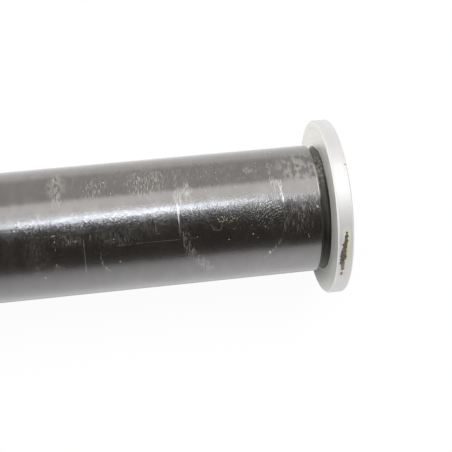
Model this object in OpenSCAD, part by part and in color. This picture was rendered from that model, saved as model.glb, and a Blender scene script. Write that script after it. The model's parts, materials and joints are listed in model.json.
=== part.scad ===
// Front wheel axle: a hollow spindle, turned and ground from one piece of steel.
// The flange's seat face lies in the plane X = 0, centred on the origin. The shaft runs from
// it along -X to the threaded tip, and the hexagon socket in the flange opens towards +X.
// Sizes are in millimetres.

/* [Shaft] */
// Diameter of the journal that the wheel bearings slide over
shaft_d = 25; // [16:0.5:40]
// Length from the flange's seat face to the tip
shaft_l = 237; // [100:1:400]
// Thickness of the tube's wall
shaft_wall = 4.5; // [3.5:0.25:7]

/* [Flange] */
// Height of the flange's rim above the journal
flange_lip = 4.7; // [2:0.1:10]
// Thickness of the flange
flange_t = 3; // [1.5:0.25:8]

/* [Relief groove at the flange] */
// Width of the groove
relief_w = 1.5; // [1.4:0.1:4]
// Depth of the groove below the journal
relief_depth = 1; // [0.5:0.1:1.1]
// Radius in the corner of the groove's floor at the journal
relief_r = 0.25; // [0.1:0.05:0.4]

/* [Hexagon socket] */
// Distance of each of the hexagon's flats outside the bore
socket_step = 0.5; // [0.25:0.25:1.25]
// Depth from the flange's outer face to the socket's floor
socket_depth = 12; // [6:0.5:30]

/* [Threaded tip] */
// Length of the thread, with its lead-in chamfer
thread_l = 18; // [8:0.5:40]
// Depth of the thread's crests below the journal, which a chamfer leads onto
thread_step = 0.5; // [0.25:0.25:1.5]
// Pitch of the thread
thread_pitch = 1.5; // [0.75:0.25:2]
// Width of the run-out groove behind the thread
runout_w = 3; // [1.5:0.25:6]
// Chamfer at the tip that starts the nut
tip_chamfer = 1.5; // [0.5:0.25:2]

/* [Edges] */
// Chamfer that breaks the rims of the flange and the journal and the mouths of the bores
edge_break = 0.3; // [0.1:0.05:0.6]

/* [Hidden] */
$fn = 96;

shaft_radius = shaft_d / 2;
bore_radius = shaft_radius - shaft_wall;
flange_radius = shaft_radius + flange_lip;

// The groove's fillet runs out in the flange's seat this far above the journal, so that a ring
// that slides over the journal lies flat on the seat.
seat_margin = 0.1;
relief_fillet = relief_depth + seat_margin;
relief_radius = shaft_radius - relief_depth;

// The run-out groove of a metric thread: its depth below the crests and the radius in the
// corners of its floor, as shares of the pitch.
runout_depth_share = 0.77;
runout_corner_share = 0.4;
thread_radius = shaft_radius - thread_step;
runout_radius = thread_radius - runout_depth_share * thread_pitch;
runout_r = runout_corner_share * thread_pitch;
thread_start = thread_l - shaft_l;
journal_end = thread_start + runout_w;

socket_flat_radius = bore_radius + socket_step;
socket_corner_radius = socket_flat_radius / cos(30);
socket_mouth_radius = socket_corner_radius + edge_break;
sink_depth = socket_mouth_radius - bore_radius;

// How far a cutting shape reaches past the face that it opens.
overshoot = 1;

// The section is drawn with the radius along x and the station on the axle along y.

// One turned step of the section, with chamfers on the two corners of its outside.
module step(radius, low, high, low_chamfer = 0, high_chamfer = 0) {
    polygon([
        [bore_radius, low],
        [radius - low_chamfer, low],
        [radius, low + low_chamfer],
        [radius, high - high_chamfer],
        [radius - high_chamfer, high],
        [bore_radius, high],
    ]);
}

// The concave round in the corner between a groove's floor and one of its walls. The floor runs
// from the wall's station towards the side given, 1 or -1.
module fillet(floor_radius, station, side, corner) {
    translate([floor_radius, station])
        scale([1, side])
            difference() {
                square(corner);
                translate([corner, corner]) circle(r = corner);
            }
}

// A turned groove between two stations, with a round at each end of its floor.
module groove(floor_radius, low, high, low_corner, high_corner) {
    step(floor_radius, low, high);
    fillet(floor_radius, low, 1, low_corner);
    fillet(floor_radius, high, -1, high_corner);
}

// The chamfer cut at the bore's mouth in the tip.
module bore_mouth() {
    reach = edge_break + overshoot;
    translate([bore_radius - overshoot, -shaft_l - overshoot])
        polygon([[0, 0], [overshoot + reach, 0], [0, overshoot + reach]]);
}

module shaft_section() {
    difference() {
        union() {
            groove(relief_radius, -relief_w, 0, relief_r, relief_fillet);
            step(shaft_radius, journal_end, -relief_w, thread_step, edge_break);
            groove(runout_radius, thread_start, journal_end, runout_r, runout_r);
            step(thread_radius, -shaft_l, thread_start, low_chamfer = tip_chamfer);
        }
        bore_mouth();
    }
}

module flange_section() {
    step(flange_radius, 0, flange_t, edge_break, edge_break);
}

// The hexagon for a socket key, with the countersink that trims its corners at the mouth.
module socket() {
    translate([0, 0, flange_t - socket_depth])
        cylinder(r = socket_corner_radius, h = socket_depth + overshoot, $fn = 6);
    translate([0, 0, flange_t - sink_depth])
        cylinder(r1 = bore_radius, r2 = socket_mouth_radius + overshoot, h = sink_depth + overshoot);
}

module axle() {
    rotate([0, 90, 0])
        difference() {
            union() {
                color("#2a2a2c") rotate_extrude() shaft_section();
                color("silver") rotate_extrude() flange_section();
            }
            socket();
        }
}

axle();
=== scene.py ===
"""Front wheel axle: a hollow steel spindle with a black shaft, a bare flange and a threaded tip.

The axle lies along X with the flange's seat in the plane X = 0. A place on its skin is given as
a station, which is X in millimetres, and a turn, the angle round the axis from the top towards
the front, -Y. Marks are placed by station and lift, the distance round the shaft above the line
that faces the photograph's camera.
"""

import json
import math
from types import SimpleNamespace

import bpy
import numpy as np
from mathutils import Matrix, Vector, noise

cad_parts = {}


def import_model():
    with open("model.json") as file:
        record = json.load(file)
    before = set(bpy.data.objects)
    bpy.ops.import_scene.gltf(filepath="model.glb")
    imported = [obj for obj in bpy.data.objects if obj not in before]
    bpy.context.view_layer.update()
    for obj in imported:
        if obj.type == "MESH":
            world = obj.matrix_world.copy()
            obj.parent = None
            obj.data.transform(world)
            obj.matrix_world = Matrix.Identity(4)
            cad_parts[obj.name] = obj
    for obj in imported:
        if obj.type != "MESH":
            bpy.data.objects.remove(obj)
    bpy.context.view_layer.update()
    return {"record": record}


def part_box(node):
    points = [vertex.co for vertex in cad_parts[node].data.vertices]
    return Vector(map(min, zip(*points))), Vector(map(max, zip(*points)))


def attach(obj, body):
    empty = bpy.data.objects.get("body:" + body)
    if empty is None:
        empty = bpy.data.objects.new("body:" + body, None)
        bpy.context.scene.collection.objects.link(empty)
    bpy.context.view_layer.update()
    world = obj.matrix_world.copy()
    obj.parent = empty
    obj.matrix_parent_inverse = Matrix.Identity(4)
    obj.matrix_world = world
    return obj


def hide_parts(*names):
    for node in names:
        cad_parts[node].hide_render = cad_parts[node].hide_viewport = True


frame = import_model()

MM = 0.001


# Sizes in millimetres, read from the frame

mounts = {mount["name"]: mount for mount in frame["record"]["mounts"]}


def wall(name):
    """Radius, lower station and higher station of a round mount's wall."""
    mount = mounts[name]
    half = mount["dims"]["length_mm"] / 2
    middle = mount["pos_m"][0] / MM
    return mount["dims"]["r_mm"], middle - half, middle + half


shaft_radius, journal_low, journal_high = wall("journal")
thread_radius, thread_low, thread_high = wall("thread")
bore_radius, bore_low, bore_high = wall("bore")

axle_low, axle_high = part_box("axle")
tip = axle_low.x / MM
flange_face = axle_high.x / MM
flange_radius = min(-axle_low.y, axle_high.y, -axle_low.z, axle_high.z) / MM

# The bore's mouth and the flange's rim are broken by the same chamfer.
edge_break = bore_low - tip
lead_in = shaft_radius - thread_radius
journal_end = journal_low - lead_in
relief_low = journal_high + edge_break

# Sizes that no mount gives
RELIEF_DEPTH = 1.0
RELIEF_CORNER = 0.25
SEAT_MARGIN = 0.1
HEX_FLAT_RADIUS = 8.5
HEX_SECTOR = math.pi / 3
THREAD_PITCH = 1.5
RUNOUT_DEPTH = 0.77 * THREAD_PITCH
RUNOUT_CORNER = 0.4 * THREAD_PITCH

relief_radius = shaft_radius - RELIEF_DEPTH
relief_fillet = RELIEF_DEPTH + SEAT_MARGIN
runout_radius = thread_radius - RUNOUT_DEPTH
hex_mouth_radius = HEX_FLAT_RADIUS / math.cos(HEX_SECTOR / 2) + edge_break

# The photograph's camera: its direction in degrees, its focal length in pixels, and where the
# seat's centre lies to the right of the lens, below it and in front of it, in millimetres
PHOTO_SIZE = 452
CAMERA_ELEVATION = 66.0
CAMERA_AZIMUTH = -11.92
CAMERA_ROLL = 5.28
FOCAL_PIXELS = 779.3
SENSOR_WIDTH = 36.0
SEAT_IN_VIEW = (18.21, -3.78, 155.76)


def camera_axes():
    """The camera's right, up and backward directions."""
    azimuth, elevation, roll = map(math.radians, (CAMERA_AZIMUTH, CAMERA_ELEVATION, CAMERA_ROLL))
    back = Vector((
        math.sin(azimuth) * math.cos(elevation),
        -math.cos(azimuth) * math.cos(elevation),
        math.sin(elevation),
    ))
    level = Vector((math.cos(azimuth), math.sin(azimuth), 0))
    upright = back.cross(level)
    right = level * math.cos(roll) + upright * math.sin(roll)
    up = upright * math.cos(roll) - level * math.sin(roll)
    return right, up, back


def camera_place():
    """Where the lens stands, in metres."""
    right, up, back = camera_axes()
    across, below, ahead = SEAT_IN_VIEW
    return (back * ahead + up * below - right * across) * MM


# The turn of the line along the shaft that faces the photograph's camera
facing_turn = math.atan2(-camera_place().y, camera_place().z)


# The skin of the axle

# Points in a ring of the shaft and of the flange
SHAFT_COUNT = 192
FLANGE_COUNT = 3 * SHAFT_COUNT
# The round on the edges, the step along an arc, and how far beside an arc a flat is held
EDGE_ROUND = 0.07
ROUND_STEP = math.radians(15)
SUPPORT = 0.08
# The longest stretch between rings, and the angle from which an edge is shaded as sharp
JOURNAL_STEP = 12.0
RIM_STEP = 0.12
SHARP_ANGLE = math.radians(35)

BLACK, BARE, TIP, INSIDE = range(4)


def turns_of(count):
    """The turns of a ring's points."""
    return np.arange(count) * (2 * math.pi / count)


class Skin:
    """A closed skin that grows ring by ring along the axle's outline."""

    def __init__(self):
        self.points = []
        self.faces = []
        self.zones = []

    def ring(self, station, radius, count):
        """Adds a ring and returns its points' numbers. Station and radius may vary with the turn."""
        turn = turns_of(count)
        station = np.broadcast_to(station, count)
        radius = np.broadcast_to(radius, count)
        first = len(self.points)
        place = np.column_stack((station, -radius * np.sin(turn), radius * np.cos(turn)))
        self.points.extend(place.tolist())
        return list(range(first, first + count))

    def face(self, corners, zone):
        """Adds a face, and leaves out corners that fall together."""
        kept = [c for i, c in enumerate(corners) if c != corners[i - 1]]
        if len(kept) > 2:
            self.faces.append(kept)
            self.zones.append(zone)

    def strip(self, low, high, zone):
        """Joins two rings whose counts are equal, or where one is a multiple of the other."""
        if len(low) > len(high):
            self.fan(high, low, zone, turned=True)
        elif len(low) < len(high):
            self.fan(low, high, zone, turned=False)
        else:
            for j in range(len(low)):
                k = (j + 1) % len(low)
                self.face([low[j], low[k], high[k], high[j]], zone)

    def fan(self, coarse, fine, zone, turned):
        """Joins a coarse ring to a fine one, turned over where the fine one is the lower."""
        ratio = len(fine) // len(coarse)
        for j in range(len(coarse)):
            here, after = coarse[j], coarse[(j + 1) % len(coarse)]
            edge = [fine[(j * ratio + i) % len(fine)] for i in range(ratio + 1)]
            half = (ratio + 1) // 2
            corners = [[here, edge[i + 1], edge[i]] for i in range(half)]
            corners += [[here, after, edge[half]]]
            corners += [[after, edge[i + 1], edge[i]] for i in range(half, ratio)]
            for triangle in corners:
                self.face(triangle[::-1] if turned else triangle, zone)

    def lathe(self, start, outline, count, zone):
        """Turns an outline of stations and radii, from a ring that is there already, to its last ring."""
        last = start
        for station, radius in outline:
            ring = self.ring(station, radius, count)
            self.strip(last, ring, zone)
            last = ring
        return last


def rounded(corners):
    """An outline through corners of (station, radius, round), with an arc at each inner corner."""
    spots = [np.array(corner[:2], float) for corner in corners]
    outline = [spots[0]]
    for i in range(1, len(corners) - 1):
        radius = corners[i][2]
        back, ahead = spots[i - 1] - spots[i], spots[i + 1] - spots[i]
        back_room, ahead_room = np.linalg.norm(back), np.linalg.norm(ahead)
        back, ahead = back / back_room, ahead / ahead_room
        half = math.acos(np.clip(back @ ahead, -1, 1)) / 2
        tangent = radius / math.tan(half)
        middle = (back + ahead) / np.linalg.norm(back + ahead)
        centre = spots[i] + middle * radius / math.sin(half)
        first, last = spots[i] + back * tangent, spots[i] + ahead * tangent
        sweep = math.pi - 2 * half
        steps = max(2, math.ceil(sweep / ROUND_STEP))
        if back_room > 2 * (tangent + SUPPORT):
            outline.append(first + back * SUPPORT)
        for step in range(steps + 1):
            part = step / steps
            spoke = (
                (first - centre) * math.sin((1 - part) * sweep)
                + (last - centre) * math.sin(part * sweep)
            ) / math.sin(sweep)
            outline.append(centre + spoke)
        if ahead_room > 2 * (tangent + SUPPORT):
            outline.append(last + ahead * SUPPORT)
    outline.append(spots[-1])
    return outline


def divided(outline, step):
    """The same outline with no stretch longer along the axle than the step."""
    finer = [outline[0]]
    for here, after in zip(outline, outline[1:]):
        pieces = max(1, math.ceil(abs(after[0] - here[0]) / step))
        finer += [here + (after - here) * (i + 1) / pieces for i in range(pieces)]
    return finer


# The thread: a right-hand metric profile, cut into the tip's chamfered blank

THREAD_DEPTH = 0.6134 * THREAD_PITCH
CREST_FLAT = THREAD_PITCH / 8
CREST_ROUND = 0.03
ROOT_ROUND = 0.06
FLANK = THREAD_DEPTH * math.tan(math.pi / 6)

root_radius = thread_radius - THREAD_DEPTH
root_middle = (CREST_FLAT + THREAD_PITCH) / 2
root_half = (THREAD_PITCH - CREST_FLAT) / 2 - FLANK
thread_outline = [
    (0.0, thread_radius - CREST_ROUND),
    (CREST_ROUND, thread_radius),
    (CREST_FLAT - CREST_ROUND, thread_radius),
    (CREST_FLAT, thread_radius - CREST_ROUND),
    (root_middle - root_half - ROOT_ROUND, root_radius + 2 * ROOT_ROUND),
    (root_middle - root_half, root_radius + ROOT_ROUND / 2),
    (root_middle, root_radius),
    (root_middle + root_half, root_radius + ROOT_ROUND / 2),
    (root_middle + root_half + ROOT_ROUND, root_radius + 2 * ROOT_ROUND),
]


def thread_at(station, turn):
    """Radius of the endless thread at a station and a turn."""
    along = np.mod(station - thread_high - THREAD_PITCH * turn / (2 * math.pi), THREAD_PITCH)
    stations, radii = zip(*thread_outline)
    return np.interp(along, stations, radii, period=THREAD_PITCH)


def blank_at(station):
    """Radius of the tip before the thread is cut."""
    chamfer = thread_low - tip
    return min(thread_radius, thread_radius - chamfer + station - tip)


def thread(skin, start, low, high):
    """Rows that follow the thread's helix between two stations. Returns the ring at the high one."""
    turns = turns_of(SHAFT_COUNT)
    end = skin.ring(high, thread_at(high, turns), SHAFT_COUNT)
    rows = len(thread_outline)
    # The rows start before the low station and end past the high one all round.
    first = math.floor((low - thread_high) / THREAD_PITCH) - 1
    cycles = math.ceil((high - low) / THREAD_PITCH) + 3
    table = []
    for row in range(cycles * rows):
        cycle, part = divmod(row, rows)
        along, radius = thread_outline[part]
        numbers = []
        for column, turn in enumerate(turns):
            lead = first + cycle + turn / (2 * math.pi)
            station = thread_high + along + THREAD_PITCH * lead
            if station <= low:
                numbers.append(start[column])
            elif station >= high:
                numbers.append(end[column])
            else:
                reach = min(radius, blank_at(station))
                numbers.append(len(skin.points))
                skin.points.append([station, -reach * math.sin(turn), reach * math.cos(turn)])
        table.append(numbers)
    # After a whole turn each row goes on as the row one pitch further along.
    for row in range(len(table) - 1):
        for column in range(SHAFT_COUNT):
            if column + 1 < SHAFT_COUNT:
                beside = table[row][column + 1], table[row + 1][column + 1]
            elif row + 1 + rows < len(table):
                beside = table[row + rows][0], table[row + 1 + rows][0]
            else:
                beside = end[0], end[0]
            skin.face([table[row][column], *beside, table[row + 1][column]], TIP)
    return end


def axle_skin():
    """The whole skin, from the bore's mouth in the tip round to that mouth again."""
    skin = Skin()
    turns = turns_of(SHAFT_COUNT)
    mouth = skin.ring(bore_low, bore_radius, SHAFT_COUNT)

    # The tip's face and the foot of its chamfer, below the thread's root
    tip_radius = blank_at(tip)
    foot = tip + root_radius - tip_radius - ROOT_ROUND
    tip_face = rounded([
        (bore_low, bore_radius, 0),
        (tip, bore_radius + edge_break, EDGE_ROUND),
        (tip, tip_radius, EDGE_ROUND),
        (foot, blank_at(foot), 0),
    ])
    last = skin.lathe(mouth, tip_face[1:], SHAFT_COUNT, TIP)
    last = thread(skin, last, foot, thread_high)

    # The thread runs out into the groove, whose first round it cuts.
    groove = rounded([
        (thread_high + CREST_ROUND, thread_radius, 0),
        (thread_high + CREST_ROUND, runout_radius, RUNOUT_CORNER),
        (journal_end, runout_radius, RUNOUT_CORNER),
        (journal_end, thread_radius, EDGE_ROUND),
        (journal_low, shaft_radius, EDGE_ROUND),
        (relief_low - edge_break, shaft_radius, EDGE_ROUND),
        (relief_low, shaft_radius - edge_break, EDGE_ROUND),
        (relief_low, relief_radius, RELIEF_CORNER),
        ((relief_low - relief_fillet) / 2, relief_radius, 0),
    ])
    cut_end = thread_high + RUNOUT_CORNER
    cut = [
        (station, np.minimum(radius, thread_at(station, turns)))
        for station, radius in groove[2:] if station <= cut_end
    ]
    last = skin.lathe(last, cut, SHAFT_COUNT, TIP)
    shaft = [spot for spot in groove if spot[0] > cut_end]
    last = skin.lathe(last, divided(shaft, JOURNAL_STEP), SHAFT_COUNT, BLACK)

    # The flange
    seat = rounded([
        ((relief_low - relief_fillet) / 2, relief_radius, 0),
        (0, relief_radius, relief_fillet),
        (0, flange_radius - edge_break, EDGE_ROUND),
        (edge_break, flange_radius, EDGE_ROUND),
        (flange_face / 2, flange_radius, 0),
    ])
    black = [spot for spot in seat[1:] if spot[1] < shaft_radius - SEAT_MARGIN]
    bare = seat[len(black):]
    last = skin.lathe(last, black, FLANGE_COUNT, BLACK)
    rim = rounded([
        (flange_face / 2, flange_radius, 0),
        (flange_face - edge_break, flange_radius, EDGE_ROUND),
        (flange_face, flange_radius - edge_break, EDGE_ROUND),
        (flange_face, hex_mouth_radius, EDGE_ROUND),
        (flange_face + bore_radius - hex_mouth_radius, bore_radius, 0),
    ])
    face_end = next(i for i, spot in enumerate(rim) if spot[1] < hex_mouth_radius + SUPPORT)
    outside = divided(bare[:-1] + rim[:face_end], RIM_STEP)
    last = skin.lathe(last, outside[1:], FLANGE_COUNT, BARE)
    mouth_edge = [spot for spot in rim[face_end:] if spot[1] > hex_mouth_radius - edge_break / 2]
    last = skin.lathe(last, mouth_edge, SHAFT_COUNT, BARE)

    # The hexagon socket: its corners lie at the top and at the bottom.
    to_flat = np.mod(turns, HEX_SECTOR) - HEX_SECTOR / 2
    hexagon = HEX_FLAT_RADIUS / np.cos(to_flat)
    sink = flange_face + hexagon - hex_mouth_radius
    socket = [(sink, hexagon), (bore_high, hexagon), (bore_high, bore_radius)]
    last = skin.lathe(last, socket, SHAFT_COUNT, BARE)

    # The bore, back to the mouth in the tip
    bore = divided([np.array((bore_high, bore_radius)), np.array((bore_low, bore_radius))], JOURNAL_STEP)
    last = skin.lathe(last, bore[1:-1], SHAFT_COUNT, INSIDE)
    skin.strip(last, mouth, INSIDE)
    return skin


# The corroded chip in the flange's rim: lift on the rim above the camera's line, station and half
# the width of its path
CHIP = (
    (-4.95, 1.6, 0.04),
    (-5.15, 1.58, 0.24),
    (-5.45, 1.58, 0.06),
    (-5.8, 1.55, 0.4),
    (-6.1, 1.52, 0.24),
    (-6.6, 1.5, 0.3),
    (-7.2, 1.36, 0.36),
    (-7.55, 1.18, 0.54),
    (-7.9, 1.2, 0.42),
    (-8.6, 1.18, 0.46),
    (-9.3, 1.1, 0.56),
    (-10.7, 0.88, 0.54),
    (-12.3, 1.0, 0.46),
    (-13.2, 1.03, 0.3),
    (-13.5, 1.03, 0.02),
    (-13.8, 1.0, 0.02),
    (-14.1, 1.0, 0.26),
    (-14.5, 0.98, 0.26),
)
# Its depth, how ragged its outline is, and the steps of the noise that frays it
CHIP_DEPTH = 0.16
CHIP_RAGGED = 0.42
CHIP_GRAIN = (1.7, 3.7)
# Where the corrosion ends, in half widths of the path, how steeply, and how far past the ends of
# the path it is looked for
CHIP_END = 1.35
CHIP_EDGE = 1.1
CHIP_MARGIN = 2.0
# Dark specks on the rim: lift, station, radius and depth
RIM_SPECKS = (
    (7.45, 2.62, 0.2, 0.52),
    (9.5, 2.5, 0.16, 0.36),
)
RIM_SPECK_END = 1.5
# The stain beside the chip: its width, and how many widths out it ends
STAIN_WIDTH = 0.8
STAIN_END = 1.2


def rim_marks(points):
    """How deeply each point is corroded and how much it is stained, from 0 to 1."""
    corroded, stained = np.zeros(len(points)), np.zeros(len(points))
    lifts, stations, halves = np.array(CHIP[::-1]).T
    for i, (station, y, z) in enumerate(points):
        if not 0 < station < flange_face or math.hypot(y, z) < flange_radius - edge_break:
            continue
        turn = math.atan2(-y, z)
        lift = (facing_turn - turn) * flange_radius
        place = Vector((station, y, z))
        rough = sum(noise.noise(place * step) for step in CHIP_GRAIN) * CHIP_RAGGED
        for speck_lift, speck_station, radius, depth in RIM_SPECKS:
            away = math.hypot(lift - speck_lift, station - speck_station) / radius
            corroded[i] = max(corroded[i], np.clip(RIM_SPECK_END - away, 0, 1) * depth)
        if not lifts[0] - CHIP_MARGIN < lift < lifts[-1] + CHIP_MARGIN:
            continue
        end = max(0, lifts[0] - lift, lift - lifts[-1])
        half = np.interp(lift, lifts, halves)
        off = station - np.interp(lift, lifts, stations)
        away = math.hypot(off, end) / half + rough
        corroded[i] = max(corroded[i], np.clip((CHIP_END - away) * CHIP_EDGE, 0, 1))
        outward = math.hypot(off - half, end) / STAIN_WIDTH
        stained[i] = np.clip(STAIN_END - outward - rough, 0, 1)
    return corroded, stained


def axle_object(materials):
    """The axle's object. Its mesh holds the rim's marks, as dents and as values for the finish."""
    skin = axle_skin()
    points = np.array(skin.points)
    corroded, stained = rim_marks(points)
    radius = np.hypot(points[:, 1], points[:, 2])
    points[:, 1:] *= (1 - CHIP_DEPTH * corroded / radius)[:, None]
    mesh = bpy.data.meshes.new("wheel_axle")
    mesh.from_pydata((points * MM).tolist(), [], skin.faces)
    for name, values in (("corrosion", corroded), ("stain", stained)):
        mesh.attributes.new(name, "FLOAT", "POINT").data.foreach_set("value", values)
    for material in materials:
        mesh.materials.append(material)
    mesh.polygons.foreach_set("material_index", skin.zones)
    mesh.polygons.foreach_set("use_smooth", [True] * len(mesh.polygons))
    mesh.set_sharp_from_angle(angle=SHARP_ANGLE)
    mesh.validate()
    axle = bpy.data.objects.new("wheel_axle", mesh)
    bpy.context.scene.collection.objects.link(axle)
    return axle


# Materials

EVEN = (1.0, 1.0, 1.0)
SEED_SHIFT = 311.7


class Graph:
    """A node tree, with short calls for the nodes that are used here."""

    def __init__(self, tree):
        self.tree = tree

    def node(self, kind, *values, **settings):
        """A new node. Values go to its inputs in order, as links or as constants."""
        made = self.tree.nodes.new(kind)
        for name, value in settings.items():
            setattr(made, name, value)
        for socket, value in zip(made.inputs, values):
            self.put(socket, value)
        return made

    def put(self, socket, value):
        """Links a value to a socket, or sets it there as a constant."""
        if isinstance(value, bpy.types.NodeSocket):
            self.tree.links.new(value, socket)
        else:
            socket.default_value = value

    def calc(self, operation, *values):
        return self.node("ShaderNodeMath", *values, operation=operation).outputs[0]

    def vector(self, operation, *values):
        return self.node("ShaderNodeVectorMath", *values, operation=operation).outputs[0]

    def product(self, first, *others):
        for other in others:
            first = self.calc("MULTIPLY", first, other)
        return first

    def most(self, first, *others):
        for other in others:
            first = self.calc("MAXIMUM", first, other)
        return first

    def opposite(self, part):
        return self.calc("SUBTRACT", 1, part)

    def squares(self, *sides):
        """The sum of the squares of two sides."""
        return self.calc("ADD", *(self.calc("MULTIPLY", side, side) for side in sides))

    def span(self, value, low, high, bottom=0.0, top=1.0):
        """Takes low..high to bottom..top smoothly, and holds the ends."""
        made = self.node("ShaderNodeMapRange", value, low, high, bottom, top)
        made.interpolation_type = "SMOOTHSTEP"
        return made.outputs[0]

    def below(self, value, edge, far, near, *levels):
        """A fade by how far a value lies below an edge, from the far depth to the near one."""
        return self.span(value, edge - far, edge - near, *levels)

    def near(self, value, middle, width):
        """1 at the middle, falling to 0 at the width on either side."""
        away = self.calc("ABSOLUTE", self.calc("SUBTRACT", value, middle))
        return self.span(away, 0, width, 1, 0)

    def within(self, value, low, high, fade):
        """1 between low and high, falling to 0 over a fade on either side of each."""
        rise = self.span(value, low - fade, low + fade)
        return self.product(rise, self.span(value, high - fade, high + fade, 1, 0))

    def mix(self, kind, part, first, second):
        made = self.node("ShaderNodeMix", data_type=kind)
        for name, value in (("Factor", part), ("A", first), ("B", second)):
            self.put(made.inputs[name], value)
        return made.outputs["Result"]

    def toward(self, part, first, second):
        """A value between two, by a part from 0 to 1."""
        return self.mix("FLOAT", part, first, second)

    def blend(self, part, *colours):
        """A colour between two, by a part from 0 to 1."""
        return self.mix("RGBA", part, *(
            colour if isinstance(colour, bpy.types.NodeSocket) else (*colour, 1) for colour in colours
        ))

    def layers(self, colour, *covers):
        """A colour below covers of a part and a colour, the last of them on top."""
        for part, cover in covers:
            colour = self.blend(part, colour, cover)
        return colour

    def ramp(self, angle, stops):
        """A colour that follows stops of degrees and colours, from white at -180 degrees."""
        part = self.node("ShaderNodeMapRange", angle, -math.pi, math.pi).outputs[0]
        made = self.node("ShaderNodeValToRGB", part)
        for element in made.color_ramp.elements:
            element.color = (1, 1, 1, 1)
        for degrees, colour in stops:
            made.color_ramp.elements.new((degrees + 180) / 360).color = (*colour, 1)
        return made.outputs["Color"]


class Finish(Graph):
    """A material, with the place on its surface in millimetres."""

    def __init__(self, name):
        self.material = bpy.data.materials.new(name)
        self.material.use_nodes = True
        super().__init__(self.material.node_tree)
        self.shader = self.tree.nodes["Principled BSDF"]
        place = self.node("ShaderNodeTexCoord").outputs["Object"]
        self.place = self.vector("MULTIPLY", place, (1 / MM, 1 / MM, 1 / MM))
        split = self.node("ShaderNodeSeparateXYZ", self.place).outputs
        self.station = split["X"]
        self.front = self.calc("MULTIPLY", split["Y"], -1)
        self.height = split["Z"]


class AxleFinish(Finish):
    """A finish of the axle, with the turn, the radius and the lift of a place on its skin."""

    def __init__(self, name):
        super().__init__(name)
        self.turn = self.calc("ARCTAN2", self.front, self.height)
        self.radius = self.calc("SQRT", self.squares(self.front, self.height))
        self.lift = self.calc("MULTIPLY", self.calc("SUBTRACT", facing_turn, self.turn), shaft_radius)

    def texture(self, kind, place, stretch, scale, seed):
        """A texture of a place. Its grains are longer where the stretch is under 1."""
        made = self.tree.nodes.new(kind)
        shift = (seed * SEED_SHIFT, 0, 0)
        self.put(made.inputs["Vector"], self.vector("MULTIPLY_ADD", place, stretch, shift))
        self.put(made.inputs["Scale"], scale)
        return made

    def noise(self, stretch, scale, detail, seed, *fade):
        """Noise from 0 to 1, faded if a fade is given."""
        made = self.texture("ShaderNodeTexNoise", self.place, stretch, scale, seed)
        self.put(made.inputs["Detail"], detail)
        return self.span(made.outputs["Fac"], *fade) if fade else made.outputs["Fac"]

    def noises(self, settings):
        """Noises by name, from the settings of each."""
        return SimpleNamespace(**{name: self.noise(*values) for name, values in settings.items()})

    def turned(self, along, scale, seed):
        """Noise in rings round the axle, whose grains are shorter where along is larger."""
        way = self.product(self.turn, along)
        path = self.node("ShaderNodeCombineXYZ", self.station, self.radius, way).outputs[0]
        return self.texture("ShaderNodeTexNoise", path, EVEN, scale, seed).outputs["Fac"]

    def cells(self, stretch, scale, seed):
        """Cells round scattered points: the distance to a cell's point, and a colour for each cell."""
        return self.texture("ShaderNodeTexVoronoi", self.place, stretch, scale, seed).outputs

    def dots(self, stretch, scale, seed, size, share):
        """Scattered dots of a size in millimetres, in a share of the cells."""
        cells = self.cells(stretch, scale, seed)
        away = self.calc("DIVIDE", cells["Distance"], scale)
        chance = self.node("ShaderNodeSeparateColor", cells["Color"]).outputs[0]
        kept = self.calc("LESS_THAN", chance, share)
        return self.product(self.span(away, size / 2, size, 1, 0), kept)

    def facets(self, normal, lean, stretch, scale, seed):
        """The normal of a skin of small facets that each lean at random, up to the given slope."""
        colour = self.cells(stretch, scale, seed)["Color"]
        # From 0..1 to -1..1
        way = self.vector("MULTIPLY_ADD", colour, (2, 2, 2), (-1, -1, -1))
        slope = self.node("ShaderNodeCombineXYZ", lean, lean, lean).outputs[0]
        return self.vector("NORMALIZE", self.vector("MULTIPLY_ADD", way, slope, normal))

    def attribute(self, name):
        """A value that the mesh stores at its points."""
        return self.node("ShaderNodeAttribute", attribute_name=name).outputs["Fac"]

    def relief(self, height, depth):
        """Surface relief: heights from 0 to 1 stand for a depth in millimetres."""
        bump = self.tree.nodes.new("ShaderNodeBump")
        self.put(bump.inputs["Distance"], depth * MM)
        self.put(bump.inputs["Height"], height)
        return bump.outputs["Normal"]

    def finish(self, **inputs):
        """Sets or links the shader's inputs, and returns the material."""
        for name, value in inputs.items():
            self.put(self.shader.inputs[name.replace("_", " ").title().replace("Ior", "IOR")], value)
        return self.material


def drawn_round(share):
    """A stretch for grains that are drawn out round the axle, the more the smaller the share is."""
    return 1.0, share, share


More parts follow.
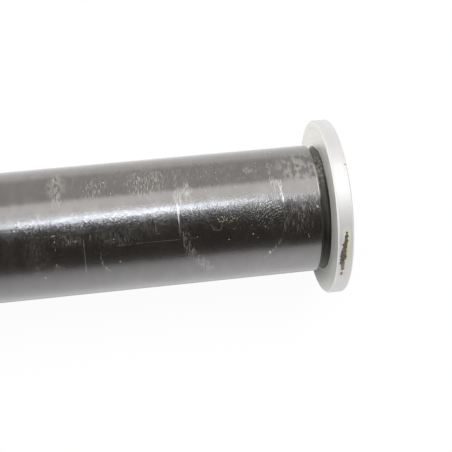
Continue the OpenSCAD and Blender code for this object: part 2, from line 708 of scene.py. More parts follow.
# The marks that the photograph shows on the shaft, in millimetres. Strokes round the shaft: station,
# lift where the stroke turns, how fast it curves away, lowest and highest lift, half its width,
# and how bright it is
STROKES = (
    (-28.05, 0.0, 0.0, -0.4, 3.1, 0.16, 1.0),
    # The next row is a painted highlight: the glint where the left arc crosses the strip lamp's highlight,
    # drawn as a wide bright rubbed patch
    (-28.0, 0.0, 0.0, 1.2, 2.5, 0.38, 0.8),
    (-28.0, 0.0, 0.0, -3.0, 0.4, 0.14, 0.6),
    (-27.95, 0.0, 0.0, 3.4, 9.4, 0.5, 0.3),
    (-27.4, -1.0, 0.044, -7.6, -1.4, 1.5, 0.75),
    (-27.0, -1.0, 0.044, -10.2, -7.0, 1.8, 0.45),
    (-8.65, 2.0, -0.06, 1.6, 2.7, 0.2, 1.0),
    (-8.65, 2.0, -0.06, 2.7, 5.2, 0.15, 0.5),
    (-8.8, 3.6, 0.0, 3.0, 6.0, 0.4, 0.6),
    (-9.8, 5.4, 0.0, 4.2, 6.6, 0.7, 0.5),
    (-8.5, -1.3, -0.066, -9.0, -0.6, 0.5, 0.5),
    (-10.45, 8.0, 0.0, 5.4, 10.4, 0.45, 0.5),
    (-45.4, -2.0, -0.006, -8.3, -1.8, 0.1, 0.7),
    (-32.3, -1.0, 0.0, -2.0, -0.2, 0.1, 0.45),
    (-49.7, 9.5, 0.0, 5.4, 12.2, 1.2, 0.5),
    (-26.2, 6.0, 0.12, 4.6, 7.4, 0.8, 0.6),
    (-44.05, -1.6, 0.0, -2.3, -0.9, 0.13, 0.5),
    (-48.0, -1.9, -1.0, -2.5, -1.4, 0.15, 0.9),
    (-54.2, -4.0, 0.0, -7.6, -1.2, 0.9, 0.3),
)
SQUIGGLE = (-42.65, -5.0, 0.085, -8.5, -4.6, 0.12, 0.8)
# Strokes along the shaft: lift, lowest and highest station, half the width and brightness
SCORES = (
    (-3.45, -39.5, -24.6, 0.07, 0.7),
    (-2.0, -32.3, -31.7, 0.12, 0.6),
    (-1.9, -47.3, -46.3, 0.13, 0.8),
    (-0.6, -53.0, -50.2, 0.16, 0.7),
)
# Bright specks: station, lift, radius and brightness
SPECKS = (
    (-11.7, -8.0, 0.25, 0.9),
    (-14.7, -3.8, 0.15, 0.6),
    (-13.9, -4.6, 0.12, 0.4),
    (-12.4, -2.7, 0.13, 0.5),
    (-19.2, -4.4, 0.12, 0.7),
    (-2.5, 0.1, 0.19, 1.0),
    (-4.4, -5.0, 0.17, 0.4),
    (-4.3, -5.4, 0.14, 0.5),
    (-18.1, -2.5, 0.12, 0.3),
    (-24.9, -3.3, 0.13, 0.5),
    (-40.0, -2.2, 0.13, 0.5),
    (-39.3, -6.7, 0.14, 0.6),
    (-50.5, -1.7, 0.13, 0.5),
    (-46.8, -2.1, 0.13, 0.5),
    (-50.5, -3.2, 0.12, 0.4),
    (-53.1, -8.7, 0.15, 0.7),
    (-34.5, 9.5, 0.16, 0.6),
    (-50.2, 10.9, 0.18, 0.8),
    (-41.1, 9.0, 0.2, 0.6),
)
# Ovals that are lightly rubbed all over, given as the crowds below are
SMUDGES = (
    (-4.6, 8.8, 6.0, 4.2, 0.5),
    (-9.7, 5.3, 1.2, 1.2, 0.5),
    (-27.4, 4.6, 1.6, 2.2, 0.3),
    (-26.0, 6.0, 1.4, 1.6, 0.4),
    (-49.7, 9.0, 2.4, 3.6, 0.4),
    (-24.4, -8.6, 1.8, 1.0, 0.14),
    (-50.0, -6.9, 2.4, 1.4, 0.1),
    (-14.3, 8.9, 1.2, 1.0, 0.4),
)
# Ovals where small marks crowd: station, lift, reach along and round the shaft, and how much
CROWDS = (
    (-30.0, 8.6, 36.0, 4.6, 0.3),
    (-33.5, 8.4, 5.5, 4.2, 1.0),
    (-43.0, 8.0, 4.0, 3.0, 0.7),
    (-5.0, 8.6, 5.0, 3.4, 0.4),
    (-14.3, 8.7, 1.2, 1.2, 0.8),
    (-50.7, -6.9, 1.6, 1.2, 0.6),
)
# Ovals where a yellowish residue clings in strands, given as the crowds are
RESIDUES = (
    (-48.0, -1.0, 6.0, 2.4, 1.0),
    (-39.0, -1.6, 6.0, 2.6, 0.9),
    (-33.5, -0.6, 4.0, 3.0, 0.7),
    (-54.0, -4.0, 3.0, 5.0, 0.6),
    (-6.0, -2.2, 4.5, 3.4, 1.0),
    (-5.5, -1.8, 1.0, 1.6, 1.6),
)
# A rubbed patch of curved lines: the oval that holds it, the lines' centre and their spacing
SWIRL = (-11.2, -0.9, 3.2, 3.4)
SWIRL_CENTRE = (-8.4, -5.4)
SWIRL_SPACING = 0.56
# A patch of yellow dots, as an oval, and a loop below it: station, lift and radius
GOLD = (-19.2, -0.55, 2.4, 0.9)
LOOP = (-21.2, -1.5, 0.95)

# How far the wobble draws a speck's outline in and where the outline fades, in parts of its radius
SPECK_WOBBLE = 1.6
SPECK_EDGE = (-0.4, 0.3)
# A stroke's full core in parts of its half width, how much further than the half width its ends
# fade, and the half width from which it is combed
STROKE_CORE = 0.25
STROKE_FADE = 0.4
COMBED_WIDTH = 0.4


def distance(coat, station, lift):
    """Distance on the shaft from a place, in millimetres."""
    sides = coat.calc("SUBTRACT", coat.station, station), coat.calc("SUBTRACT", coat.lift, lift)
    return coat.calc("SQRT", coat.squares(*sides))


def speck(coat, wobble, station, lift, radius, bright):
    """A speck whose outline the wobble draws in and out."""
    away = coat.calc("MULTIPLY_ADD", wobble, -SPECK_WOBBLE * radius, distance(coat, station, lift))
    inner, outer = SPECK_EDGE
    return coat.span(away, inner * radius, outer * radius, bright, 0)


def oval(coat, station, lift, reach, height):
    """1 in the middle of an oval on the shaft, falling to 0 at its outline."""
    along = coat.calc("DIVIDE", coat.calc("SUBTRACT", coat.station, station), reach)
    across = coat.calc("DIVIDE", coat.calc("SUBTRACT", coat.lift, lift), height)
    return coat.span(coat.squares(along, across), 0, 1, 1, 0)


def ovals(coat, start, spots):
    """The start, with ovals that rise above it."""
    for *spot, much in spots:
        start = coat.most(start, coat.product(oval(coat, *spot), much))
    return start


def stroke(coat, across, along, comb, centre, apex, bend, low, high, half_width, bright):
    """A stroke along across = centre + bend * (along - apex)^2. The comb parts a wide one."""
    away = coat.calc("SUBTRACT", along, apex)
    path = coat.calc("MULTIPLY_ADD", coat.calc("MULTIPLY", away, away), bend, centre)
    off = coat.calc("ABSOLUTE", coat.calc("SUBTRACT", across, path))
    edge = coat.span(off, STROKE_CORE * half_width, half_width, 1, 0)
    mark = coat.product(edge, coat.within(along, low, high, half_width + STROKE_FADE), bright)
    return mark if half_width < COMBED_WIDTH else coat.product(mark, comb)


# A fade is a low and a high value of what it goes by, and the levels there where they aren't 0 and 1.
# A band is a low and a high value, and how far it fades there.

# Noises of the black finish: stretch, grains per millimetre, detail, seed, and a fade where it has one
BLACK_NOISES = {
    "tint": (EVEN, 0.16, 1.0, 1),
    "clouds": (drawn_round(0.6), 0.45, 3.0, 2),
    "strands": (drawn_round(0.16), 3.6, 2.0, 3, 0.5, 0.8),
    "dashes": (drawn_round(0.14), 6.4, 1.0, 4),
    "wobble": (EVEN, 5.0, 1.0, 5),
    "waver": (EVEN, 1.3, 1.0, 6),
    "brushed": (drawn_round(0.14), 7.2, 1.0, 8, 0.46, 0.76),
    "breaks": (EVEN, 1.7, 1.0, 9, 0.36, 0.52),
    "crowding": (EVEN, 0.08, 1.0, 10, 0.5, 0.75, 0.1, 0.6),
    "soiling": (EVEN, 0.1, 1.0, 12, 0.5, 0.7, 0, 0.5),
    "comb": (drawn_round(0.22), 4.4, 1.0, 15, 0.46, 0.6),
    "blotches": (drawn_round(0.5), 1.3, 2.0, 16, 0.38, 0.62),
}
# Dots and facets: stretch, cells per millimetre and seed, and a dot's radius and share of the cells
PIMPLES = (drawn_round(0.8), 5.0, 7, 0.17, 0.7)
DUST_DOTS = (drawn_round(0.36), 3.6, 11, 0.08)
GOLD_DOTS = (EVEN, 4.6, 13, 0.1, 0.55)
FACETS = (drawn_round(0.7), 6.4, 17)
# Turned noise: how short its grains are, grains per millimetre and seed
LODGED_STREAKS = (9.0, 3.0, 14)
FLANGE_LINES = (0.4, 4.0, 3)
FACE_CUTS = (0.15, 1.3, 6)

# Rubbed marks, how far a wavering one strays in millimetres, and the painted highlight on the journal's
# edge
SCORE_FADE = (0.38, 0.5, 0.3, 1)
WAVER = 0.6
SWIRL_WAVER = 0.4
SWIRL_LINE = (0.5, 0.4)
SWIRL_LIFTS = (-3.0, 1.0, 0.32, 0.42)
SWIRL_EDGE = (0, 0.5)
# A painted highlight: the journal's edge at the groove is painted as bright steel over the lifts where it
# catches the lamps
EDGE_HIGHLIGHT_WIDTH = 0.25
EDGE_HIGHLIGHT_LIFTS = (1.8, 9.0, 0.8)
EDGE_HIGHLIGHT_FADE = (0.3, 0.55, 0.3, 0.9)


def swirl(coat, noises, waver):
    """The curved lines of the rubbed patch."""
    arcs = coat.calc("MULTIPLY_ADD", waver, SWIRL_WAVER, distance(coat, *SWIRL_CENTRE))
    arcs = coat.calc("FRACT", coat.calc("DIVIDE", arcs, SWIRL_SPACING))
    return coat.product(
        coat.near(arcs, *SWIRL_LINE),
        noises.breaks,
        coat.span(coat.lift, *SWIRL_LIFTS),
        coat.span(oval(coat, *SWIRL), *SWIRL_EDGE),
    )


def painted_edge_highlight(coat, noises):
    """A painted highlight: the journal's edge at the groove, painted as bright steel where it catches the
    lamps.
    """
    return coat.product(
        coat.below(coat.station, journal_high, EDGE_HIGHLIGHT_WIDTH, 0),
        coat.within(coat.lift, *EDGE_HIGHLIGHT_LIFTS),
        coat.span(noises.wobble, *EDGE_HIGHLIGHT_FADE),
    )


def rubbed_marks_and_highlights(coat, noises, waver):
    """How far the black is worn off, from 0 to 1, with the painted highlights on the left arc and the
    journal's edge.
    """
    marks = [stroke(coat, coat.station, coat.lift, noises.comb, *mark) for mark in STROKES]
    wavering = coat.calc("ADD", coat.station, waver)
    marks.append(stroke(coat, wavering, coat.lift, noises.comb, *SQUIGGLE))
    for lift, *ends in SCORES:
        score = stroke(coat, coat.lift, coat.station, noises.comb, lift, 0, 0, *ends)
        marks.append(coat.product(score, coat.span(noises.clouds, *SCORE_FADE)))
    for *spot, much in SMUDGES:
        marks.append(coat.product(oval(coat, *spot), noises.blotches, much))
    return coat.most(*marks, swirl(coat, noises, waver), painted_edge_highlight(coat, noises))


# The bands of the shaft that the photograph shows, and the dirt on all of it
SHOWN_STATIONS = (-62, 0, 2)
SHOWN_LIFTS = (-13, 13, 2)
DUST_DASHES = (0.46, 0.72, 0, 0.46)
DUST_SHARE = (0, 1, 0, 0.3)
DUST_LEVEL = 0.5
RESIDUE_DASHES = (0.46, 0.7, 0, 0.2)


def unseen(coat):
    """1 where the photograph doesn't show the shaft."""
    stations = coat.within(coat.station, *SHOWN_STATIONS)
    return coat.opposite(coat.product(stations, coat.within(coat.lift, *SHOWN_LIFTS)))


def dust_marks(coat, noises, rest):
    """Pale dashes and dots where marks crowd, and single specks."""
    crowds = ovals(coat, coat.product(rest, noises.crowding), CROWDS)
    dots = coat.dots(*DUST_DOTS, coat.span(crowds, *DUST_SHARE))
    return coat.most(
        coat.product(crowds, coat.span(noises.dashes, *DUST_DASHES)),
        coat.product(dots, DUST_LEVEL),
        *(speck(coat, noises.wobble, *spot) for spot in SPECKS),
    )


def residue_marks(coat, noises, rest):
    """Strands of yellowish residue."""
    patches = ovals(coat, coat.product(rest, noises.soiling), RESIDUES)
    return coat.product(patches, coat.span(noises.dashes, *RESIDUE_DASHES))


# The patch of gold, and the loop, which fades by the lift from its middle
GOLD_EDGE = (0, 0.4)
GOLD_LEVEL = 0.8
LOOP_WAVER = 0.3
LOOP_WIDTH = 0.13
LOOP_LIFTS = (-0.4, 0.6, 0.26, 0.07)


def gold_marks(coat, waver):
    """The patch of yellow dots and the loop below it."""
    station, lift, radius = LOOP
    away = coat.calc("MULTIPLY_ADD", waver, LOOP_WAVER, distance(coat, station, lift))
    above = coat.calc("SUBTRACT", coat.lift, lift)
    loop = coat.product(coat.near(away, radius, LOOP_WIDTH), coat.span(above, *LOOP_LIFTS))
    patch = coat.span(oval(coat, *GOLD), *GOLD_EDGE)
    return coat.most(loop, coat.product(coat.dots(*GOLD_DOTS), patch, GOLD_LEVEL))


# Soil in the groove, which creeps onto the journal except where the journal is clear of it
SOIL_CREEP = (0.2, 0.05, 1, 0)
CLEAR_LIFTS = (1.0, 2.6)
FOOT_FADE = 0.1
SOIL_COLOURS = (0.065, 0.062, 0.055), (0.1, 0.095, 0.084)
SOIL_CLOUDS = (0.35, 0.7)
# The groove's colour towards its underside, which is darker
GROOVE_UNDERSIDE_COLOUR = (0.03, 0.029, 0.027)
DARK_LIFTS = (-7, -2, 0.7, 0)
LODGED_FADE = (0.44, 0.64, 0.08, 0.75)
LODGED_LIFTS = (5.5, 12.5, 3.0)
LODGED_DUST = (0.44, 0.41, 0.34)


def groove_soil(coat, noises, inner):
    """The soil's colour, darker towards the groove's underside, the dust lodged in it, and 1 where the
    ground shaft is clear of soil.
    """
    foot = shaft_radius - edge_break
    clean = coat.below(coat.station, journal_high, *SOIL_CREEP)
    clear = coat.most(clean, coat.span(coat.lift, *CLEAR_LIFTS))
    ground = coat.product(coat.below(coat.radius, foot, FOOT_FADE, 0), clear)
    lodged = coat.span(coat.turned(*LODGED_STREAKS), *LODGED_FADE)
    lodged = coat.product(lodged, coat.within(coat.lift, *LODGED_LIFTS), inner)
    soil = coat.blend(coat.span(noises.clouds, *SOIL_CLOUDS), *SOIL_COLOURS)
    # Darker towards the underside
    soil = coat.blend(coat.span(coat.lift, *DARK_LIFTS), soil, GROOVE_UNDERSIDE_COLOUR)
    return coat.blend(lodged, soil, LODGED_DUST), lodged, ground


# Fine grain
PIMPLE_LIFTS = (-1.6, 1.6, 0.3, 0.6)
BRUSHED_LIFTS = (3.0, 5.0)
BRUSHED_HEIGHTS = (0, 1, 0.42, 0.28)
STRAND_HEIGHT = 0.3


def fine_grain(coat, noises, inner):
    """Heights of pimples, of brushed lines at the groove and above the highlight, and of strands."""
    pimples = coat.product(coat.dots(*PIMPLES), coat.span(coat.lift, *PIMPLE_LIFTS))
    brushed = coat.product(noises.brushed, coat.span(inner, *BRUSHED_HEIGHTS))
    combed = coat.most(inner, coat.span(coat.lift, *BRUSHED_LIFTS))
    grain = coat.toward(combed, pimples, brushed)
    return coat.calc("MULTIPLY_ADD", noises.strands, STRAND_HEIGHT, grain)


# The facets' lean, which is weaker above the highlight, to the left, in the groove and in the swirl
LEAN_LIFTS = (-2.2, 0.4, 0.012, 0.038)
LEAN_ABOVE_LIFTS = (1.0, 2.4)
LEAN_ABOVE = 0.014
LEAN_STATIONS = (-36, -24, 0.92, 1)
LEAN_GROUND = (0.5, 1)
LEAN_SWIRL = (0, 0.5, 1, 0.4)


def facet_lean(coat, ground):
    """The slope up to which the facets of the finish lean."""
    above = coat.span(coat.lift, *LEAN_ABOVE_LIFTS)
    return coat.product(
        coat.toward(above, coat.span(coat.lift, *LEAN_LIFTS), LEAN_ABOVE),
        coat.span(coat.station, *LEAN_STATIONS),
        coat.span(ground, *LEAN_GROUND),
        coat.span(oval(coat, *SWIRL), *LEAN_SWIRL),
    )


# Where the shaft changes towards the groove, and its colours, dirt that hides metal, and gloss
INNER_STATIONS = (-11, -7)
BLACK_COLOURS = (0.248, 0.245, 0.232), (0.266, 0.252, 0.248)
CLOUD_COLOUR = (0.34, 0.332, 0.32)
CLOUD_FADE = (0.35, 0.75, 0, 0.3)
# Rubbed steel, which is also the colour of the painted highlights on the left arc and the journal's edge
RUBBED_AND_HIGHLIGHT_COLOUR = (0.68, 0.67, 0.64)
RESIDUE_COLOUR = (0.62, 0.57, 0.38)
GOLD_COLOUR = (0.72, 0.6, 0.38)
DUST_COLOUR = (0.74, 0.73, 0.68)
LODGED_COVER = 0.6
LOOSE_COVER = 0.9
BLACK_ROUGHNESS = (0.3, 0.7, 0.16, 0.21)
SOIL_ROUGHNESS = 0.5
MARK_ROUGHNESS = 0.42


def black_finish():
    coat = AxleFinish("black_finish")
    noises = coat.noises(BLACK_NOISES)
    waver = coat.calc("MULTIPLY_ADD", noises.waver, 2 * WAVER, -WAVER)
    inner = coat.span(coat.station, *INNER_STATIONS)
    rest = unseen(coat)
    # Rubbed marks, together with the painted highlights on the left arc and the journal's edge
    rubbed_and_highlights = rubbed_marks_and_highlights(coat, noises, waver)
    dust = dust_marks(coat, noises, rest)
    residue = residue_marks(coat, noises, rest)
    gold = gold_marks(coat, waver)
    soil, lodged, ground = groove_soil(coat, noises, inner)

    tone = coat.layers(
        coat.blend(noises.tint, *BLACK_COLOURS),
        (coat.span(noises.clouds, *CLOUD_FADE), CLOUD_COLOUR),
        (rubbed_and_highlights, RUBBED_AND_HIGHLIGHT_COLOUR),
        (residue, RESIDUE_COLOUR),
        (gold, GOLD_COLOUR),
        (dust, DUST_COLOUR),
    )
    tone = coat.blend(ground, soil, tone)
    loose = coat.toward(ground, coat.product(lodged, LODGED_COVER), coat.most(dust, gold, residue))

    gloss = coat.span(noises.clouds, *BLACK_ROUGHNESS)
    gloss = coat.toward(ground, SOIL_ROUGHNESS, gloss)
    gloss = coat.toward(coat.most(rubbed_and_highlights, dust), gloss, MARK_ROUGHNESS)
    normal = coat.relief(fine_grain(coat, noises, inner), depth=0.015)
    return coat.finish(
        base_color=tone,
        metallic=coat.calc("MULTIPLY_ADD", loose, -LOOSE_COVER, 1),
        roughness=gloss,
        normal=coat.facets(normal, facet_lean(coat, ground), *FACETS),
        sheen_weight=0.3,
        sheen_roughness=0.4,
    )


# Noises of the flange, given as those of the black finish are
FLANGE_NOISES = {
    "clouds": (EVEN, 0.25, 3.0, 1),
    "grain": (EVEN, 4.0, 2.0, 2),
    "rust": (EVEN, 2.4, 2.0, 4, 0.38, 0.62),
    "broached": ((0.06, 1, 1), 3.0, 2.0, 5),
    "scuffs": ((1, 0.25, 1), 1.6, 2.0, 7, 0.58, 0.7, 0, 0.3),
}
# Depths inside the socket's mouth, behind the seat and below the outer face where the finish changes
MOUTH_FADE = (0.2, 0.05, 1, 0)
SEAT_FADE = (0.05, 0.15, 1, 0)
FACE_FADE = (0.1, 0.02)

# The turned steel
FLANGE_COLOURS = (0.7, 0.692, 0.68), (0.74, 0.734, 0.722)
SEAT_COLOUR = (0.84, 0.843, 0.79)
LINE_COLOUR = (0.62, 0.615, 0.6)
LINE_FADE = (0.4, 0.7, 0, 0.35)
CUT_COLOUR = (0.58, 0.575, 0.56)
CUT_FADE = (0.4, 0.65, 0, 0.5)
SCUFF_COLOUR = (0.5, 0.495, 0.48)
# The socket's walls: broached streaks, darker than the face as painted shade in the recess
SHADED_BROACHED_COLOURS = (0.3, 0.29, 0.27), (0.52, 0.51, 0.48)

# Darker rings that the tool left on the seat: radius and half the width, and below them their band
# of lifts, their colour and their level
SEAT_RINGS = ((14.15, 0.24), (16.6, 0.22))
SEAT_RING_LIFTS = (-9, 8, 3)
SEAT_RING_COLOUR = (0.45, 0.46, 0.44)
SEAT_RING_LEVEL = 0.6


def turned_steel(coat, noises, lines, inside, seat):
    """The colour of the flange without its corrosion, with painted shade inside the socket."""
    face = coat.below(coat.station, flange_face, *FACE_FADE)
    cuts = coat.product(face, coat.span(coat.turned(*FACE_CUTS), *CUT_FADE))
    scuffs = coat.product(face, noises.scuffs)
    rings = coat.most(*(coat.near(coat.radius, *ring) for ring in SEAT_RINGS))
    rings = coat.product(rings, seat, coat.within(coat.lift, *SEAT_RING_LIFTS), SEAT_RING_LEVEL)
    return coat.layers(
        coat.blend(noises.clouds, *FLANGE_COLOURS),
        (seat, SEAT_COLOUR),
        (coat.span(lines, *LINE_FADE), LINE_COLOUR),
        (cuts, CUT_COLOUR),
        (scuffs, SCUFF_COLOUR),
        # Painted shade inside the socket, with broached streaks
        (inside, coat.blend(noises.broached, *SHADED_BROACHED_COLOURS)),
        (rings, SEAT_RING_COLOUR),
    )


# The stain beside the chip, yellow above and pink below, and the rust, which pales towards its end
STAIN_FADE = (0.3, 0.6, 0.5, 0.95)
STAIN_COLOURS = (0.56, 0.55, 0.36), (0.74, 0.63, 0.55)
PINK_LIFTS = (-8.8, -7.6, 1, 0)
PIT_GRAIN = 0.9
PIT_FADE = (0.72, 1.02)
RUST_COLOURS = (0.085, 0.068, 0.055), (0.17, 0.137, 0.12)
PALE_LIFTS = (-9.4, -8.0, 0.8, 0)
PALE_COLOUR = (0.25, 0.25, 0.205)
STAINED_FADE = (0.6, 1.0, 0, 0.8)
STAINED_COLOURS = (0.1, 0.1, 0.052), (0.3, 0.22, 0.17)


def corroded_steel(coat, noises, tone):
    """The colour with the stain and the rust of the chip, and how far they cover the steel."""
    pink = coat.span(coat.lift, *PINK_LIFTS)
    spread = coat.attribute("stain")
    stain = coat.product(spread, coat.span(noises.grain, *STAIN_FADE))
    tone = coat.blend(stain, tone, coat.blend(pink, *STAIN_COLOURS))
    pit = coat.calc("MULTIPLY_ADD", noises.grain, PIT_GRAIN, coat.attribute("corrosion"))
    pit = coat.span(pit, *PIT_FADE)
    rust = coat.layers(
        coat.blend(noises.rust, *RUST_COLOURS),
        (coat.span(coat.lift, *PALE_LIFTS), PALE_COLOUR),
        (coat.span(spread, *STAINED_FADE), coat.blend(pink, *STAINED_COLOURS)),
    )
    return coat.blend(pit, tone, rust), coat.most(pit, stain)


# The flange's metal and gloss, and the height of its lines
FLANGE_METAL = 0.45
SEAT_METAL = 0.62
FLANGE_ROUGHNESS = (0.7, 1.3, 0.4, 0.46)
SEAT_ROUGHNESS = 0.38
RUST_ROUGHNESS = 0.8
LINE_HEIGHT = 0.6


def bare_flange():
    coat = AxleFinish("bare_flange")
    noises = coat.noises(FLANGE_NOISES)
    lines = coat.turned(*FLANGE_LINES)
    inside = coat.below(coat.radius, hex_mouth_radius, *MOUTH_FADE)
    seat = coat.product(coat.span(coat.station, *SEAT_FADE), coat.opposite(inside))
    tone = turned_steel(coat, noises, lines, inside, seat)
    tone, cover = corroded_steel(coat, noises, tone)

    bright = coat.opposite(cover)
    gloss = coat.span(coat.calc("ADD", noises.clouds, noises.grain), *FLANGE_ROUGHNESS)
    gloss = coat.toward(seat, gloss, SEAT_ROUGHNESS)
    marks = coat.toward(inside, lines, noises.broached)
    height = coat.calc("MULTIPLY_ADD", marks, LINE_HEIGHT, noises.grain)
    return coat.finish(
        base_color=tone,
        metallic=coat.product(bright, coat.toward(seat, FLANGE_METAL, SEAT_METAL)),
        specular_ior_level=0.3,
        roughness=coat.toward(bright, RUST_ROUGHNESS, gloss),
        normal=coat.relief(height, depth=0.006),
    )


# Dark steel in the tip and the bore, with the tip's thread worn bright down to a depth below its crest
TIP_NOISES = {"clouds": (EVEN, 0.4, 3.0, 21), "grain": (EVEN, 4.0, 3.0, 22)}
TIP_COLOURS = (0.07, 0.066, 0.06), (0.14, 0.133, 0.125)
TIP_ROUGHNESS = (0.3, 0.7, 0.38, 0.55)
WORN_DEPTHS = (0.14, 0.02)
WORN_FADE = (0.3, 0.6, 0.4, 1)
WORN_COLOUR = (0.52, 0.51, 0.49)
WORN_ROUGHNESS = 0.3
BORE_NOISES = {"clouds": (EVEN, 0.3, 3.0, 31), "grain": (EVEN, 3.0, 3.0, 32)}
BORE_COLOURS = (0.06, 0.057, 0.055), (0.12, 0.095, 0.075)
BORE_ROUGHNESS = (0.3, 0.7, 0.5, 0.7)


def threaded_tip():
    coat = AxleFinish("threaded_tip")
    noises = coat.noises(TIP_NOISES)
    crest = coat.below(coat.radius, thread_radius, *WORN_DEPTHS)
    worn = coat.product(crest, coat.span(noises.clouds, *WORN_FADE))
    tone = coat.blend(noises.grain, *TIP_COLOURS)
    gloss = coat.span(noises.grain, *TIP_ROUGHNESS)
    return coat.finish(
        base_color=coat.blend(worn, tone, WORN_COLOUR),
        metallic=1.0,
        roughness=coat.toward(worn, gloss, WORN_ROUGHNESS),
        normal=coat.relief(noises.grain, depth=0.01),
    )


def bore_finish():
    coat = AxleFinish("bore_finish")
    noises = coat.noises(BORE_NOISES)
    return coat.finish(
        base_color=coat.blend(noises.clouds, *BORE_COLOURS),
        metallic=1.0,
        roughness=coat.span(noises.grain, *BORE_ROUGHNESS),
        normal=coat.relief(noises.grain, depth=0.02),
    )


# Stage

# The floor: its size in metres, its colour, and how much of what is seen of it is its own glow
FLOOR_SIZE = 3.0
FLOOR_COLOUR = (0.9, 0.9, 0.9, 1)
FLOOR_GLOW = 0.95
WHITE = (1, 1, 1)
# The pool of light that the axle mirrors: its colours behind the axle and in front of it, the fade
# between them in millimetres, its level, the reach at which it has halved, and how much further and
# from how near it reaches on the flange's side
BACK_COLOUR = (1.0, 0.985, 0.975)
FRONT_COLOUR = (0.98, 0.985, 1.02)
FRONT_FADE = (0, 20)
POOL_LEVEL = 1.25
POOL_REACH = 145.0
POOL_LEAN = 1.2
POOL_NEAR = 50.0
# The shade below the axle in that pool: its fade by the distance in front of or behind the axis
SHADE_FADE = (6.0, 15.0, 0.05, 1)


def pool_level(graph):
    """How bright the axle mirrors a place on the floor."""
    ahead = graph.most(graph.front, 0)
    lean = graph.calc("DIVIDE", graph.station, graph.calc("ADD", ahead, POOL_NEAR))
    lean = graph.calc("MULTIPLY_ADD", lean, -POOL_LEAN, 1)
    away = graph.calc("DIVIDE", graph.product(ahead, graph.most(lean, 0)), POOL_REACH)
    pool = graph.calc("MINIMUM", graph.calc("DIVIDE", POOL_LEVEL, graph.calc("ADD", away, 1)), 1)
    return graph.product(pool, graph.span(graph.calc("ABSOLUTE", graph.front), *SHADE_FADE))


def floor():
    """A matt floor that looks white, and that the axle mirrors as a pool of light round itself."""
    half = FLOOR_SIZE / 2
    level = -flange_radius * MM
    mesh = bpy.data.meshes.new("floor")
    corners = [(-half, -half, level), (half, -half, level), (half, half, level), (-half, half, level)]
    mesh.from_pydata(corners, [], [(0, 1, 2, 3)])
    graph = Finish("floor")
    nodes = graph.tree.nodes
    rays = graph.node("ShaderNodeLightPath").outputs
    looked_at = rays["Is Camera Ray"]
    seen = graph.most(looked_at, rays["Is Glossy Ray"], rays["Is Transmission Ray"])
    colour = graph.blend(graph.span(graph.front, *FRONT_FADE), BACK_COLOUR, FRONT_COLOUR)
    colour = graph.blend(looked_at, colour, WHITE)
    matt = graph.node("ShaderNodeBsdfDiffuse", FLOOR_COLOUR).outputs[0]
    glow = graph.node("ShaderNodeEmission", colour, graph.most(pool_level(graph), looked_at)).outputs[0]
    surface = graph.node("ShaderNodeMixShader", graph.product(seen, FLOOR_GLOW), matt, glow).outputs[0]
    graph.put(nodes["Material Output"].inputs["Surface"], surface)
    nodes.remove(graph.shader)
    mesh.materials.append(graph.material)
    plane = bpy.data.objects.new("floor", mesh)
    bpy.context.scene.collection.objects.link(plane)


# The studio round the axle, by the angle over it from the front horizon: dark in front of the axle
# and pale behind it. The ends are what lies beyond the tip and beyond the flange, as grey levels.
STUDIO = (
    (-10, (0.17, 0.158, 0.152)),
    (0, (0.17, 0.158, 0.152)),
    (6, (0.11, 0.1, 0.094)),
    (13, (0.076, 0.067, 0.062)),
    (20, (0.066, 0.058, 0.053)),
    (66, (0.066, 0.058, 0.053)),
    (78, (0.3, 0.3, 0.3)),
    (86, (0.65, 0.65, 0.65)),
    (100, (0.7, 0.7, 0.7)),
    (150, (0.715, 0.69, 0.68)),
    (175, (0.67, 0.65, 0.64)),
    (180, (0.67, 0.65, 0.64)),
)
TIP_END = ((-10, 1.25), (60, 1.25), (110, 2.0), (180, 2.0))
FLANGE_END = ((-10, 1.05), (80, 1.05), (110, 0.15), (180, 0.15))
# How far a direction points along the axle where an end begins and where it has taken over
ENDS_FROM, ENDS_FULL = 0.4, 0.7


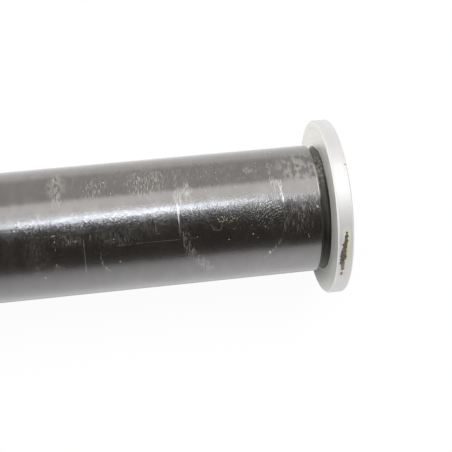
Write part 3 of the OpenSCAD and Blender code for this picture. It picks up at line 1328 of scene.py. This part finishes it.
def world():
    scene = bpy.context.scene
    scene.world = bpy.data.worlds.new("studio")
    scene.world.use_nodes = True
    graph = Graph(scene.world.node_tree)
    way = graph.node("ShaderNodeSeparateXYZ", graph.node("ShaderNodeTexCoord").outputs["Generated"]).outputs
    angle = graph.calc("ARCTAN2", way["Z"], graph.calc("MULTIPLY", way["Y"], -1))
    light = graph.ramp(angle, STUDIO)
    for sign, end in ((1, FLANGE_END), (-1, TIP_END)):
        part = graph.span(graph.calc("MULTIPLY", way["X"], sign), ENDS_FROM, ENDS_FULL)
        greys = [(degrees, (level, level, level)) for degrees, level in end]
        light = graph.blend(part, light, graph.ramp(angle, greys))
    seen = graph.node("ShaderNodeLightPath").outputs["Is Camera Ray"]
    back = graph.tree.nodes["Background"]
    graph.put(back.inputs["Color"], graph.blend(seen, light, WHITE))


LAMP_HEIGHT = 0.8
# The lamps: name, shape, the angles of their two edges over the axle from the front horizon, length
# along X and its middle in metres, spin in degrees, radiance and colour
LAMPS = (
    ("strip", "ELLIPSE", (81.5, 90), 0.35, -0.08, 15.5, 6.2, (0.88, 0.97, 1.1)),
    ("panel", "RECTANGLE", (90, 120), 1.6, -0.04, 3, 0.86, (1.02, 1.0, 1.02)),
    ("edge", "RECTANGLE", (61, 114), 0.5, 0.56, 0, 3.9, (1.0, 1.0, 1.0)),
)


def lamp(name, shape, angles, length, middle, spin, radiance, colour):
    """A soft lamp that faces down from above the axle."""
    low, high = (-LAMP_HEIGHT / math.tan(math.radians(angle)) for angle in angles)
    light = bpy.data.lights.new(name, "AREA")
    light.shape = shape
    light.size = length
    light.size_y = high - low
    light.color = colour
    area = light.size * light.size_y * (math.pi / 4 if shape == "ELLIPSE" else 1)
    light.energy = radiance * math.pi * area
    holder = bpy.data.objects.new(name, light)
    holder.location = (middle, (low + high) / 2, LAMP_HEIGHT)
    holder.rotation_euler = (0, 0, math.radians(spin))
    bpy.context.scene.collection.objects.link(holder)


CLIP_START, CLIP_END = 0.01, 10


def camera():
    right, up, back = camera_axes()
    lens = bpy.data.cameras.new("camera")
    lens.sensor_width = SENSOR_WIDTH
    lens.lens = FOCAL_PIXELS / PHOTO_SIZE * SENSOR_WIDTH
    lens.clip_start = CLIP_START
    lens.clip_end = CLIP_END
    eye = bpy.data.objects.new("camera", lens)
    axes = Matrix((right, up, back)).transposed().to_4x4()
    eye.matrix_world = Matrix.Translation(camera_place()) @ axes
    bpy.context.scene.collection.objects.link(eye)
    bpy.context.scene.camera = eye


axle = axle_object([black_finish(), bare_flange(), threaded_tip(), bore_finish()])
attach(axle, "root")
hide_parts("axle")
floor()
world()
for settings in LAMPS:
    lamp(*settings)
camera()
bpy.context.scene.view_settings.view_transform = "Standard"
